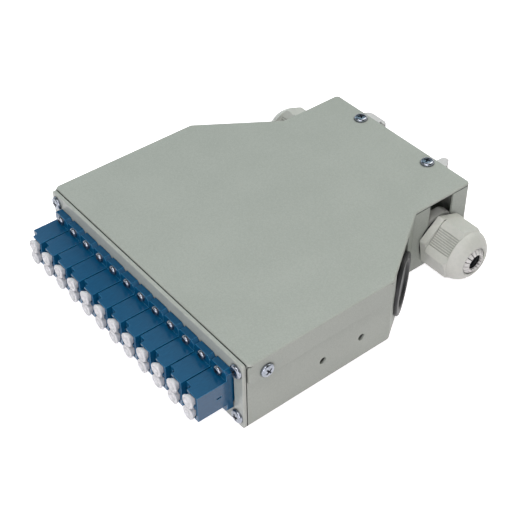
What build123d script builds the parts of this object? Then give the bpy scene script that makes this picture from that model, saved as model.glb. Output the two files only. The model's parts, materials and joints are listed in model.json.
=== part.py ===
"""DIN rail fibre box: a folded steel housing with twelve duplex adapters in front,
two cable glands at the sides and a spring-latched rail clip behind.

Millimetres. +X is right, +Y points to the rail, +Z is up.
The origin is the centre of the housing's underside.
"""
from build123d import *
from math import cos, radians, sin, sqrt
import os

os.makedirs("parts", exist_ok=True)

# Housing
width = 134.0
depth = 140.0
height = 34.3
rear_width = 85.5
rear_length = 32.4
taper_length = 35.3
sheet = 1.0
bend_radius = 1.2
fold_radius = 0.8
corner_radius = 2.0
wall_corner_radius = 1.3
plate_gap = 0.5
wall_top_gap = 0.6
front_groove_width = 0.4
front_groove_depth = 0.6
side_fit = 0.15
taper_lap = 0.5
rear_lap = 0.2
flange_drop = 10.4
front_tab_width = 4.5
rear_tab_depth = 12.0
rear_tab_width = 60.0

# Adapter plate
plate_thickness = 1.5
plate_corner_radius = 1.2
plate_edge_round = 0.5
plate_top_gap = 0.3
plate_screw_inset_x = 4.8
plate_screw_inset_z = 4.75
window_margin = 0.7

# Adapters
adapter_row_margin = 7.0
adapter_pitch = 10.0
adapter_width = 9.4
adapter_height = 12.8
adapter_rear_width = 8.7
adapter_front_length = 13.4
adapter_rear_length = 13.0
adapter_flange_thickness = 2.9
adapter_flange_height = 22.0
ear_chamfer = 1.5
ear_latch_chamfer = 0.6
adapter_screw_spacing = 18.0
port_pitch = 6.25
port_offset = 1.0
port_size = 4.8
port_web = 3.0
key_wall = 0.9
latch_step = 2.2
latch_step_round = 1.1
slit_length = 2.2
slit_width = 0.75
slit_depth = 1.8
slit_from_flange = 3.6
key_width = 3.2
sleeve_length = 11.4
sleeve_outer_radius = 1.6
sleeve_inner_radius = 1.25
sleeve_housing_wall = 0.55

# Dust caps
cap_head_radius = 3.05
cap_head_length = 2.1
cap_neck_radius = 2.2
cap_neck_length = 0.9
cap_wall = 0.6
cap_plug_length = 6.5
cap_fit = 0.1
cap_web = 0.8
cap_web_width = 2.4
plug_round = 0.6
inner_cap_inset = 0.8
inner_cap_rim = 0.6
inner_cap_head = 2.0

# Screws
m3_radius = 1.45
m3_head_radius = 3.0
m3_head_height = 1.5
head_bevel = 0.5
m3_length = 6.0
m2_radius = 1.0
m2_head_radius = 1.95
m2_head_height = 1.4
m2_length = 6.0
m25_radius = 1.25
m25_head_radius = 2.3
screw_fit = 0.05
clearance_fit = 0.15
nut_thickness = 2.0
m3_nut_flats = 5.5
m25_nut_flats = 5.0

# Cover and side fixings
cover_screw_from_front = 8.7
cover_screw_height = 27.4
rear_screw_spacing = 42.8
rear_screw_from_rear = 4.8
side_hole_radius = 1.6
side_hole_spacing = 20.0
side_hole_from_front = 37.5
side_hole_height = 11.7

# Cable glands
gland_from_rear = 16.8
gland_height = 13.0
gland_slot_width = 13.8
gland_entry_radius = 9.3
gland_hole_fit = 0.2
washer_thickness = 0.8
washer_width = 1.8
base_radius = 13.0
base_thickness = 3.3
base_edge = 0.4
base_turn = 20.6
collar_radius = 8.4
collar_length = 9.0
gland_bore_radius = 6.6
gland_nut_radius = 12.8
nut_wide_half_angle = 39.4
nut_length = 17.4
nut_dome_length = 6.2
nut_mouth_radius = 6.3
nut_lip = 1.3
nut_shoulder = 0.9
nut_shoulder_inset = 1.2
nut_edge = 0.8
mouth_edge = 0.4
mouth_rim = 0.9
dome_inset = 2.8
dome_drop = 2.2
nut_fit = 0.08
thread_end_gap = 0.3
nut_turn = 43.9
flute_count = 9
flute_pitch = 1.03
flute_width = 0.45
flute_depth = 0.5
locknut_radius = 11.5
locknut_flats = 21.6
locknut_thickness = 4.5
entry_tail = 1.5
cable_radius = 3.3
basket_length = 14.0
basket_wall = 1.0
basket_shoulder = 1.2
basket_rim = 0.6
finger_count = 16
finger_slot = 0.4
finger_rise = 1.0
finger_set_back = 0.9
finger_tip_round = 0.5
finger_tip_length = 0.9
finger_tip_play = 0.25
seal_set_back = 0.5

# Rubber grommets
grommet_along = 20.3
grommet_height = 14.5
grommet_slot_radius = 12.3
grommet_flange_radius = 13.6
grommet_back_radius = 12.9
grommet_front_flange = 1.6
grommet_back_flange = 1.5
grommet_back_taper = 0.4
grommet_fit = 0.05
grommet_dish_radius = 10.5
grommet_dish_depth = 1.3
grommet_round = 0.7
dish_slope = 0.8
dish_lip = 0.3
membrane = 0.8

# Rail clip
rail_width = 35.0
rail_lip = 1.0
rail_lip_fit = 0.3
rail_side_fit = 0.1
clip_width = 27.0
clip_base = 3.3
clip_hook_reach = 2.5
clip_hook_thickness = 1.8
clip_hook_body = 9.9
clip_fillet = 1.6
seat_relief = 0.3
seat_play = 0.1
channel_width = 16.0
channel_fit = 0.1
latch_thickness = 1.5
latch_wall = 2.0
latch_inner_end = -9.0
latch_play = 0.2
grip_length = 5.5
grip_height = 1.6
grip_slot = 1.2
latch_window_length = 15.0
latch_window_width = 8.0
latch_window_start = -6.5
peg_length = 1.6
peg_width = 5.0
spring_strip = 0.45
spring_turns = 4
spring_width = 5.6
clip_screw_spacing_x = 24.0
clip_screw_spacing_z = 21.4

# Splice holder
holder_length = 46.0
holder_width = 30.0
holder_base = 1.6
holder_slots = 12
holder_slot_pitch = 3.5
holder_slot_width = 2.6
holder_slot_height = 5.5
holder_comb = 5.0
holder_from_front = 62.0
holder_screw_spacing = 36.0

# Places worked out from the sizes above
front_y = -depth / 2
rear_y = depth / 2
taper_rear_y = rear_y - rear_length
taper_front_y = taper_rear_y - taper_length
half_width = width / 2
rear_half_width = rear_width / 2
cover_underside = height - sheet
mid_z = height / 2
chassis_half = half_width - sheet - side_fit
rear_wall_y = rear_y - rear_lap
rear_side_x = rear_half_width - rear_lap
plate_front_y = front_y - plate_thickness
flange_front_y = plate_front_y - adapter_flange_thickness
body_front_y = flange_front_y - adapter_front_length
body_rear_y = plate_front_y + adapter_rear_length
body_mid_y = (body_front_y + body_rear_y) / 2
plate_screw_spacing_x = width - 2 * plate_screw_inset_x
plate_screw_spacing_z = height - 2 * plate_screw_inset_z
adapter_gap = adapter_pitch - adapter_width
adapter_count = int((width - 2 * adapter_row_margin + adapter_gap) // adapter_pitch)
row_start = -(adapter_count - 1) * adapter_pitch / 2
adapter_x = [row_start + i * adapter_pitch for i in range(adapter_count)]
port_z = [-port_pitch / 2, port_pitch / 2]

# Slanted wall: its normal, its direction and its outer start
slope_x = rear_half_width - half_width
slope_length = sqrt(slope_x**2 + taper_length**2)
slope = Vector(slope_x / slope_length, taper_length / slope_length)
slope_normal = Vector(slope.Y, -slope.X)
slope_start = Vector(half_width, taper_front_y) - slope_normal * taper_lap


def slope_at_x(x):
    """Y of the slanted wall's outer face where its X is x."""
    return slope_start.Y + (x - slope_start.X) * slope.Y / slope.X


def both_sides(points):
    """Closed outline from the right half's points, front to rear, and their mirror."""
    return points + [(-x, y) for x, y in reversed(points)]


def hexagon_sizes(flats):
    """Corner radius of a hexagon with this size across flats."""
    return flats / 2 / cos(radians(30))


def save(part, name):
    """Label one sub-part and write it."""
    part.label = name
    export_step(part, f"parts/{name}.step")


# Folded tray: outline, bends, open top and front, then the folded tabs
chassis_points = [
    (chassis_half, front_y),
    (chassis_half, slope_at_x(chassis_half)),
    (rear_side_x, slope_at_x(rear_side_x)),
    (rear_side_x, rear_wall_y),
]
gland_y = rear_y - gland_from_rear
grommet_mid = slope_start + slope * grommet_along
grommet_face = Plane(
    origin=(grommet_mid.X, grommet_mid.Y, grommet_height),
    x_dir=(slope.X, slope.Y, 0),
    z_dir=(slope_normal.X, slope_normal.Y, 0),
)
cover_screw_y = front_y + cover_screw_from_front
rear_screw_y = rear_y - rear_screw_from_rear
side_hole_y = front_y + side_hole_from_front
clip_screw_x = clip_screw_spacing_x / 2
clip_screw_z = clip_screw_spacing_z / 2
holder_y = front_y + holder_from_front

with BuildPart() as chassis:
    with BuildSketch(Plane.XY):
        with BuildLine():
            Polyline(*both_sides(chassis_points), close=True)
        make_face()
    extrude(amount=cover_underside - wall_top_gap)
    upright = chassis.edges().filter_by(Axis.Z)
    fillet(upright.filter_by(lambda e: e.center().Y > front_y + 1), wall_corner_radius)
    under = chassis.faces().sort_by(Axis.Z)[0].edges()
    fillet(under.filter_by(lambda e: e.center().Y > front_y + 0.1), bend_radius)
    offset(
        amount=-sheet,
        openings=[chassis.faces().sort_by(Axis.Z)[-1], chassis.faces().sort_by(Axis.Y)[0]],
    )
    # Front tabs that carry the adapter plate
    tab_middle = chassis_half - sheet / 2 - front_tab_width / 2
    with BuildSketch(Plane.XZ.offset(-front_y)):
        with Locations((tab_middle, mid_z), (-tab_middle, mid_z)):
            Rectangle(front_tab_width + sheet, height - 2 * sheet)
    extrude(amount=-sheet)
    # Narrow groove along the front edges, behind the adapter plate
    with BuildSketch(Plane.XZ.offset(-front_y)):
        with Locations((chassis_half, mid_z), (-chassis_half, mid_z)):
            Rectangle(2 * front_groove_depth, height)
    extrude(amount=-front_groove_width, mode=Mode.SUBTRACT)
    # Rear tab that carries the cover's rear screws
    with BuildSketch(Plane.XY.offset(cover_underside)):
        with Locations((0, rear_wall_y - rear_tab_depth / 2)):
            Rectangle(rear_tab_width, rear_tab_depth)
    extrude(amount=-sheet)
    # Tapped holes for the plate, cover and splice holder screws
    with BuildSketch(Plane.XZ.offset(-front_y)):
        with Locations((0, mid_z)):
            with GridLocations(plate_screw_spacing_x, plate_screw_spacing_z, 2, 2):
                Circle(m3_radius + screw_fit)
    extrude(amount=-2 * sheet, mode=Mode.SUBTRACT)
    with BuildSketch(Plane.XY.offset(height)):
        with Locations((0, rear_screw_y)):
            with GridLocations(rear_screw_spacing, 1, 2, 1):
                Circle(m3_radius + screw_fit)
    extrude(amount=-3 * sheet, mode=Mode.SUBTRACT)
    with BuildSketch(Plane.XY):
        with Locations((0, holder_y)):
            with GridLocations(holder_screw_spacing, 1, 2, 1):
                Circle(m3_radius + screw_fit)
    extrude(amount=sheet, mode=Mode.SUBTRACT)
    # Holes for the rail clip screws
    with BuildSketch(Plane.XZ.offset(-rear_y)):
        with Locations((0, mid_z)):
            with GridLocations(clip_screw_spacing_x, clip_screw_spacing_z, 2, 2):
                Circle(m25_radius + screw_fit)
    extrude(amount=3 * sheet, mode=Mode.SUBTRACT)
    # Side holes, and notches that let the cover lift with its side screws
    with BuildSketch(Plane.YZ.offset(-half_width)):
        with Locations((side_hole_y + side_hole_spacing / 2, side_hole_height)):
            with GridLocations(side_hole_spacing, 1, 2, 1):
                Circle(side_hole_radius)
        with Locations((cover_screw_y, cover_screw_height)):
            Circle(m3_radius + clearance_fit)
        with Locations((cover_screw_y, (cover_screw_height + height) / 2)):
            Rectangle(2 * (m3_radius + clearance_fit), height - cover_screw_height)
    extrude(amount=width, mode=Mode.SUBTRACT)
    # Keyhole slots of the glands
    with BuildSketch(Plane.YZ.offset(-half_width)):
        with Locations((gland_y, gland_height)):
            Circle(gland_entry_radius + gland_hole_fit)
        with Locations((gland_y, (gland_height + height) / 2)):
            Rectangle(gland_slot_width, height - gland_height)
    extrude(amount=width, mode=Mode.SUBTRACT)
    # Open slots of the grommets in the slanted walls
    with BuildSketch(grommet_face.offset(1)):
        Circle(grommet_slot_radius)
        with Locations((0, (height - grommet_height) / 2)):
            Rectangle(2 * grommet_slot_radius, height - grommet_height)
    grommet_cut = extrude(amount=-2 * sheet - 1, mode=Mode.PRIVATE)
    add(grommet_cut, mode=Mode.SUBTRACT)
    mirror(grommet_cut, about=Plane.YZ, mode=Mode.SUBTRACT)
save(chassis.part, "chassis")

# Lid: flat top with two folded side flanges
cover_front_y = front_y + plate_gap
cover_points = [
    (half_width, cover_front_y),
    (half_width, taper_front_y),
    (rear_half_width, taper_rear_y),
    (rear_half_width, rear_y),
]
with BuildPart() as cover:
    with BuildSketch(Plane.XY.offset(height)):
        with BuildLine():
            Polyline(*both_sides(cover_points), close=True)
        make_face()
    extrude(amount=-sheet)
    fillet(cover.edges().filter_by(Axis.Z), corner_radius)
    flange_x = half_width - sheet / 2
    flange_y = (cover_front_y + taper_front_y) / 2
    with BuildSketch(Plane.XY.offset(height)):
        with Locations((flange_x, flange_y), (-flange_x, flange_y)):
            Rectangle(sheet, taper_front_y - cover_front_y - 2 * corner_radius)
    extrude(amount=-flange_drop)
    with BuildSketch(Plane.YZ.offset(-half_width)):
        with Locations((flange_y, height - (sheet + flange_drop) / 2)):
            RectangleRounded(taper_front_y - cover_front_y, flange_drop - sheet, corner_radius)
    side_flanges = extrude(amount=sheet, mode=Mode.PRIVATE)
    add(side_flanges)
    mirror(side_flanges, about=Plane.YZ)
    # Outer bend of the two folds
    top_edges = cover.faces().sort_by(Axis.Z)[-1].edges()
    fillet(top_edges.filter_by(lambda e: abs(e.center().X) > half_width - 0.1), fold_radius)
    # Holes of the side screws and rear screws
    with BuildSketch(Plane.YZ.offset(-half_width)):
        with Locations((cover_screw_y, cover_screw_height)):
            Circle(m3_radius + screw_fit)
    extrude(amount=width, mode=Mode.SUBTRACT)
    with BuildSketch(Plane.XY.offset(height)):
        with Locations((0, rear_screw_y)):
            with GridLocations(rear_screw_spacing, 1, 2, 1):
                Circle(m3_radius + screw_fit)
    extrude(amount=-2 * sheet, mode=Mode.SUBTRACT)
save(cover.part, "cover")

# Front plate with one window behind the row of adapters
window_width = (adapter_count - 1) * adapter_pitch + adapter_width + 2 * window_margin
window_height = adapter_height + 2 * window_margin
with BuildPart() as adapter_plate:
    with BuildSketch(Plane.XZ.offset(-front_y)):
        with Locations((0, (height - plate_top_gap) / 2)):
            RectangleRounded(2 * chassis_half, height - plate_top_gap, plate_corner_radius)
        with Locations((0, mid_z)):
            Rectangle(window_width, window_height, mode=Mode.SUBTRACT)
            with GridLocations(plate_screw_spacing_x, plate_screw_spacing_z, 2, 2):
                Circle(m3_radius + screw_fit, mode=Mode.SUBTRACT)
            with GridLocations(adapter_pitch, adapter_screw_spacing, adapter_count, 2):
                Circle(m2_radius + screw_fit, mode=Mode.SUBTRACT)
    extrude(amount=plate_thickness)
    plate_face = adapter_plate.faces().sort_by(Axis.Y)[0]
    fillet(plate_face.outer_wire().edges(), plate_edge_round)
save(adapter_plate.part, "adapter_plate")


def pan_screw(shank, length, head, rise):
    """Pan-head screw along -Z, its head standing on the plane z = 0."""
    with BuildPart() as screw:
        with BuildSketch(Plane.XZ):
            with BuildLine():
                Polyline(
                    (0, -length),
                    (shank, -length),
                    (shank, 0),
                    (head, 0),
                    (head, rise - head_bevel),
                    (head - head_bevel, rise),
                    (0, rise),
                    close=True,
                )
            make_face()
        revolve(axis=Axis.Z)
    return screw.part


def flat_screw(shank, length, head):
    """Countersunk screw along -Z, its head flush with the plane z = 0."""
    with BuildPart() as screw:
        with BuildSketch(Plane.XZ):
            with BuildLine():
                sink = head - shank
                Polyline((0, 0), (0, -length), (shank, -length), (shank, -sink), (head, 0), (0, 0))
            make_face()
        revolve(axis=Axis.Z)
    return screw.part


def hex_nut(flats, thickness, bore):
    """Hexagon nut that stands on the plane z = 0."""
    with BuildPart() as nut:
        with BuildSketch():
            RegularPolygon(hexagon_sizes(flats), 6)
            Circle(bore, mode=Mode.SUBTRACT)
        extrude(amount=thickness)
    return nut.part


def placed(piece, planes):
    """Group of equal separate solids, one on each plane."""
    with BuildPart() as group:
        with Locations(*planes):
            add(piece)
    return group.part


# Fasteners of the housing
m3_screw = pan_screw(m3_radius, m3_length, m3_head_radius, m3_head_height)
m3_nut = hex_nut(m3_nut_flats, nut_thickness, m3_radius + screw_fit)
plate_screw_planes = [
    Plane(
        origin=(sx * plate_screw_spacing_x / 2, plate_front_y, mid_z + sz * plate_screw_spacing_z / 2),
        x_dir=(1, 0, 0),
        z_dir=(0, -1, 0),
    )
    for sx in (-1, 1)
    for sz in (-1, 1)
]
save(placed(m3_screw, plate_screw_planes), "plate_screws")

side_screw_planes = [
    Plane(origin=(s * half_width, cover_screw_y, cover_screw_height), x_dir=(0, 1, 0), z_dir=(s, 0, 0))
    for s in (-1, 1)
]
save(placed(m3_screw, side_screw_planes), "cover_side_screws")

nut_x = chassis_half - sheet - nut_thickness
side_nut_planes = [
    Plane(origin=(s * nut_x, cover_screw_y, cover_screw_height), x_dir=(0, 1, 0), z_dir=(s, 0, 0))
    for s in (-1, 1)
]
save(placed(m3_nut, side_nut_planes), "cover_side_nuts")

rear_screw_planes = [
    Plane(origin=(s * rear_screw_spacing / 2, rear_screw_y, height)) for s in (-1, 1)
]
save(placed(m3_screw, rear_screw_planes), "cover_rear_screws")

# Duplex adapter: one welded housing with two ports at each end
adapter_front = Plane.XZ.offset(-body_front_y)
adapter_rear = Plane(origin=(0, body_rear_y, 0), x_dir=(1, 0, 0), z_dir=(0, 1, 0))
port_depth = (body_rear_y - body_front_y - port_web) / 2
barrel_radius = sleeve_outer_radius + screw_fit + sleeve_housing_wall
with BuildPart() as adapter:
    with BuildSketch(Plane.XZ.offset(-body_front_y)):
        with Locations((0, mid_z)):
            Rectangle(adapter_width, adapter_height)
    extrude(amount=-(plate_front_y - body_front_y))
    with BuildSketch(Plane.XZ.offset(-plate_front_y)):
        with Locations((0, mid_z)):
            Rectangle(adapter_rear_width, adapter_height)
    extrude(amount=-(body_rear_y - plate_front_y))
    with BuildSketch(Plane.XZ.offset(-plate_front_y)):
        with Locations((0, mid_z)):
            Rectangle(adapter_width, adapter_flange_height)
    extrude(amount=adapter_flange_thickness)
    tips = adapter.edges().filter_by(Axis.Y).filter_by(
        lambda e: abs(e.center().Z - mid_z) > adapter_flange_height / 2 - 0.1
    )
    chamfer(tips.filter_by(lambda e: e.center().X > 0), ear_chamfer)
    chamfer(
        adapter.edges()
        .filter_by(Axis.Y)
        .filter_by(lambda e: abs(e.center().Z - mid_z) > adapter_flange_height / 2 - 0.1)
        .filter_by(lambda e: e.center().X < -adapter_width / 2 + 0.1),
        ear_latch_chamfer,
    )
    # Set-back edge on the latch side of the front
    with BuildSketch(Plane.XZ.offset(-body_front_y)):
        with Locations((-adapter_width / 2, mid_z)):
            Rectangle(2 * (adapter_width / 2 + port_offset - port_size / 2), adapter_height + 1)
    extrude(amount=-latch_step, mode=Mode.SUBTRACT)
    step_corner = adapter.edges().filter_by(Axis.Z).filter_by(
        lambda e: abs(e.center().Y - body_front_y - latch_step) < 0.01 and e.center().X > -adapter_width / 2 + 0.1
    )
    fillet(step_corner, latch_step_round)
    # Ports with their latch channels, from both ends
    for face_y, inward in ((body_front_y, -1), (body_rear_y, 1)):
        with BuildSketch(Plane.XZ.offset(-face_y)):
            for z in port_z:
                with Locations((port_offset, mid_z + z)):
                    Rectangle(port_size, port_size)
                with Locations((-adapter_width / 2 + key_wall + port_size / 2, mid_z + z)):
                    Rectangle(port_size, key_width)
        extrude(amount=inward * port_depth, mode=Mode.SUBTRACT)
    # Barrels that hold the alignment sleeves
    with BuildSketch(Plane.XZ.offset(-(body_mid_y - sleeve_length / 2))):
        with Locations((port_offset, mid_z)):
            with GridLocations(1, port_pitch, 1, 2):
                Circle(barrel_radius)
    extrude(amount=-sleeve_length)
    with BuildSketch(Plane.XZ.offset(-(body_mid_y - sleeve_length / 2))):
        with Locations((port_offset, mid_z)):
            with GridLocations(1, port_pitch, 1, 2):
                Circle(sleeve_outer_radius + screw_fit)
    extrude(amount=-sleeve_length, mode=Mode.SUBTRACT)
    # Holes for the two fixing screws
    with BuildSketch(Plane.XZ.offset(-plate_front_y)):
        with Locations((0, mid_z)):
            with GridLocations(1, adapter_screw_spacing, 1, 2):
                Circle(m2_radius + clearance_fit)
    extrude(amount=adapter_flange_thickness, mode=Mode.SUBTRACT)
    # Small slit in the plain side
    with BuildSketch(Plane.YZ.offset(adapter_width / 2)):
        with Locations((flange_front_y - slit_from_flange, mid_z)):
            Rectangle(slit_length, slit_width)
    extrude(amount=-slit_depth, mode=Mode.SUBTRACT)
for number, x in enumerate(adapter_x, 1):
    save(placed(adapter.part, [Plane(origin=(x, 0, 0))]), f"adapter_{number:02d}")

# Ceramic sleeves inside the barrels
with BuildPart() as sleeve:
    with BuildSketch(Plane.XZ.offset(-(body_mid_y - sleeve_length / 2))):
        Circle(sleeve_outer_radius)
        Circle(sleeve_inner_radius, mode=Mode.SUBTRACT)
    extrude(amount=-sleeve_length)
port_planes = [Plane(origin=(x + port_offset, 0, mid_z + z)) for x in adapter_x for z in port_z]
save(placed(sleeve.part, port_planes), "alignment_sleeves")

# Small screws of the adapters
m2_screw = pan_screw(m2_radius, m2_length, m2_head_radius, m2_head_height)
adapter_screw_planes = [
    Plane(origin=(x, flange_front_y, mid_z + s * adapter_screw_spacing / 2), x_dir=(1, 0, 0), z_dir=(0, -1, 0))
    for x in adapter_x
    for s in (-1, 1)
]
save(placed(m2_screw, adapter_screw_planes), "adapter_screws")

# Front dust cap: two flared heads joined by a web, each with a square plug
plug_size = port_size - 2 * cap_fit
with BuildPart() as dust_cap:
    for z in port_z:
        with BuildSketch(Plane.XZ):
            with BuildLine():
                Polyline(
                    (0, 0),
                    (cap_neck_radius, 0),
                    (cap_neck_radius, cap_neck_length),
                    (cap_head_radius, cap_head_length),
                    (cap_head_radius - cap_wall, cap_head_length),
                    (cap_neck_radius - cap_wall, cap_neck_length),
                    (0, cap_neck_length),
                    close=True,
                )
            make_face()
        head = revolve(axis=Axis.Z, mode=Mode.PRIVATE)
        with Locations((z, 0, 0)):
            add(head)
    with BuildSketch(Plane.XY):
        Rectangle(port_pitch, cap_web_width)
    extrude(amount=cap_web)
    with BuildSketch(Plane.XY):
        with GridLocations(port_pitch, 1, 2, 1):
            RectangleRounded(plug_size, plug_size, plug_round)
    extrude(amount=-cap_plug_length)
for number, x in enumerate(adapter_x, 1):
    seat = Plane(origin=(x + port_offset, body_front_y, mid_z), x_dir=(0, 0, 1), z_dir=(0, -1, 0))
    save(placed(dust_cap.part, [seat]), f"dust_cap_{number:02d}")

# Inner dust caps: plain blocks with square plugs
with BuildPart() as inner_cap:
    with BuildSketch(Plane.XY):
        Rectangle(adapter_height - inner_cap_inset, plug_size + 2 * inner_cap_rim)
    extrude(amount=inner_cap_head)
    with BuildSketch(Plane.XY):
        with GridLocations(port_pitch, 1, 2, 1):
            Rectangle(plug_size, plug_size)
    extrude(amount=-cap_plug_length)
inner_planes = [
    Plane(origin=(x + port_offset, body_rear_y, mid_z), x_dir=(0, 0, 1), z_dir=(0, 1, 0))
    for x in adapter_x
]
save(placed(inner_cap.part, inner_planes), "inner_dust_caps")

# Cable gland, built along +Z from the outer face of the wall
base_start = washer_thickness
nut_start = base_start + base_thickness
nut_end = nut_start + nut_length
tail_end = -(sheet + locknut_thickness + entry_tail)
thread_end = nut_start + collar_length

with BuildPart() as gland_body:
    with BuildSketch(Plane.XY.offset(base_start)):
        RegularPolygon(base_radius, 6)
    extrude(amount=base_thickness)
    chamfer(gland_body.edges().filter_by(Axis.Z), base_edge)
    with BuildSketch(Plane.XY.offset(tail_end)):
        Circle(gland_entry_radius)
    extrude(until=Until.NEXT)
    with BuildSketch(Plane.XY.offset(nut_start)):
        Circle(collar_radius)
    extrude(amount=collar_length)
    with BuildSketch(Plane.XY.offset(tail_end)):
        Circle(gland_bore_radius)
    extrude(amount=thread_end - tail_end, mode=Mode.SUBTRACT)

with BuildPart() as gland_washer:
    with BuildSketch():
        Circle(gland_entry_radius + washer_width)
        Circle(gland_entry_radius + screw_fit, mode=Mode.SUBTRACT)
    extrude(amount=washer_thickness)

with BuildPart() as gland_locknut:
    with BuildSketch(Plane.XY.offset(-sheet)):
        Circle(locknut_radius)
        RegularPolygon(hexagon_sizes(locknut_flats), 6, mode=Mode.INTERSECT)
        Circle(gland_entry_radius + screw_fit, mode=Mode.SUBTRACT)
    extrude(amount=-locknut_thickness)

# Clamping basket: sleeve in the collar, shoulder on its end, fingers bent inwards at the mouth
dome_start = nut_end - nut_dome_length
finger_base = nut_end - finger_set_back
basket_end = nut_end + finger_rise
basket_start = basket_end - basket_length
seal_end = finger_base - seal_set_back
sleeve_radius = gland_bore_radius - screw_fit
mouth_radius = nut_mouth_radius - nut_fit
basket_bore = sleeve_radius - basket_wall
tip_radius = cable_radius + finger_tip_play
with BuildPart() as gland_basket:
    with BuildSketch(Plane.XZ):
        with BuildLine():
            Polyline(
                (basket_bore, basket_start),
                (sleeve_radius, basket_start),
                (sleeve_radius, thread_end),
                (sleeve_radius + basket_shoulder, thread_end),
                (sleeve_radius + basket_shoulder, thread_end + basket_rim),
                (mouth_radius, dome_start + nut_dome_length / 2),
                (mouth_radius, finger_base),
                (tip_radius + finger_tip_round, basket_end),
                (tip_radius, basket_end - finger_tip_round),
                (tip_radius, basket_end - finger_tip_round - finger_tip_length),
                (basket_bore, seal_end),
                close=True,
            )
        make_face()
    revolve(axis=Axis.Z)
    with BuildSketch(Plane.XY.offset(thread_end + basket_rim)):
        with PolarLocations((mouth_radius + cable_radius) / 2, finger_count):
            Rectangle(mouth_radius, finger_slot)
    extrude(amount=basket_end - thread_end, mode=Mode.SUBTRACT)

# Rubber seal inside the basket
with BuildPart() as gland_seal:
    with BuildSketch(Plane.XY.offset(basket_start)):
        Circle(basket_bore - screw_fit)
        Circle(cable_radius, mode=Mode.SUBTRACT)
    extrude(amount=seal_end - basket_start)

# Dome nut: three wide fluted faces between three narrow ones, and a proud rounded end
wide_apothem = gland_nut_radius * cos(radians(nut_wide_half_angle))
shoulder_radius = gland_nut_radius - nut_shoulder_inset
shoulder_end = dome_start + nut_shoulder
nut_corners = []
for third in range(3):
    for side in (-1, 1):
        angle = radians(120 * third + side * nut_wide_half_angle)
        nut_corners.append((gland_nut_radius * cos(angle), gland_nut_radius * sin(angle)))
with BuildPart() as gland_nut:
    with BuildSketch(Plane.XY.offset(nut_start)):
        with BuildLine():
            Polyline(*nut_corners, close=True)
        make_face()
    extrude(amount=shoulder_end - nut_start)
    # Corners bevelled at both ends
    with BuildSketch(Plane.XZ):
        with BuildLine():
            Polyline(
                (0, nut_start),
                (gland_nut_radius - nut_edge, nut_start),
                (gland_nut_radius, nut_start + nut_edge),
                (gland_nut_radius, shoulder_end - nut_shoulder_inset),
                (shoulder_radius, shoulder_end),
                (0, shoulder_end),
                close=True,
            )
        make_face()
    revolve(axis=Axis.Z, mode=Mode.INTERSECT)
    # Flutes in the three wide faces
    for third in range(3):
        wide_face = Plane(
            origin=(wide_apothem * cos(radians(120 * third)), wide_apothem * sin(radians(120 * third)), nut_start),
            x_dir=(-sin(radians(120 * third)), cos(radians(120 * third)), 0),
            z_dir=(cos(radians(120 * third)), sin(radians(120 * third)), 0),
        )
        with BuildSketch(wide_face):
            with GridLocations(flute_pitch, 1, flute_count, 1):
                Rectangle(flute_width, 2 * (dome_start - nut_start))
        extrude(amount=-flute_depth, mode=Mode.SUBTRACT)
    # Rounded end, which rises from the wide faces
    with BuildSketch(Plane.XZ):
        with BuildLine():
            Polyline(
                (0, dome_start - nut_shoulder / 2),
                (wide_apothem - flute_depth, dome_start - nut_shoulder / 2),
                (shoulder_radius, shoulder_end),
            )
            ThreePointArc(
                (shoulder_radius, shoulder_end),
                (gland_nut_radius - dome_inset, nut_end - dome_drop),
                (nut_mouth_radius + mouth_rim, nut_end),
            )
            Polyline(
                (nut_mouth_radius + mouth_rim, nut_end),
                (0, nut_end),
                (0, dome_start - nut_shoulder / 2),
            )
        make_face()
    revolve(axis=Axis.Z)
    # Thread room, inner cone and mouth
    with BuildSketch(Plane.XZ):
        with BuildLine():
            Polyline(
                (0, nut_start),
                (collar_radius + nut_fit, nut_start),
                (collar_radius + nut_fit, thread_end + thread_end_gap),
                (nut_mouth_radius, dome_start + nut_dome_length - nut_lip),
                (nut_mouth_radius, nut_end - mouth_edge),
                (nut_mouth_radius + mouth_edge, nut_end),
                (0, nut_end),
                close=True,
            )
        make_face()
    revolve(axis=Axis.Z, mode=Mode.SUBTRACT)


def gland_plane(side, turn=0.0):
    """Outer face of the wall on one side; local X points to the front, turned upwards."""
    return Plane(
        origin=(side * rear_side_x, gland_y, gland_height),
        x_dir=(0, -cos(radians(turn)), sin(radians(turn))),
        z_dir=(side, 0, 0),
    )


for side_name, side in (("right", 1), ("left", -1)):
    save(placed(gland_body.part, [gland_plane(side, base_turn)]), f"{side_name}_gland_body")
    save(placed(gland_washer.part, [gland_plane(side)]), f"{side_name}_gland_washer")
    save(placed(gland_locknut.part, [gland_plane(side)]), f"{side_name}_gland_locknut")
    save(placed(gland_basket.part, [gland_plane(side)]), f"{side_name}_gland_basket")
    save(placed(gland_seal.part, [gland_plane(side)]), f"{side_name}_gland_seal")
    save(placed(gland_nut.part, [gland_plane(side, nut_turn)]), f"{side_name}_gland_nut")

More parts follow.
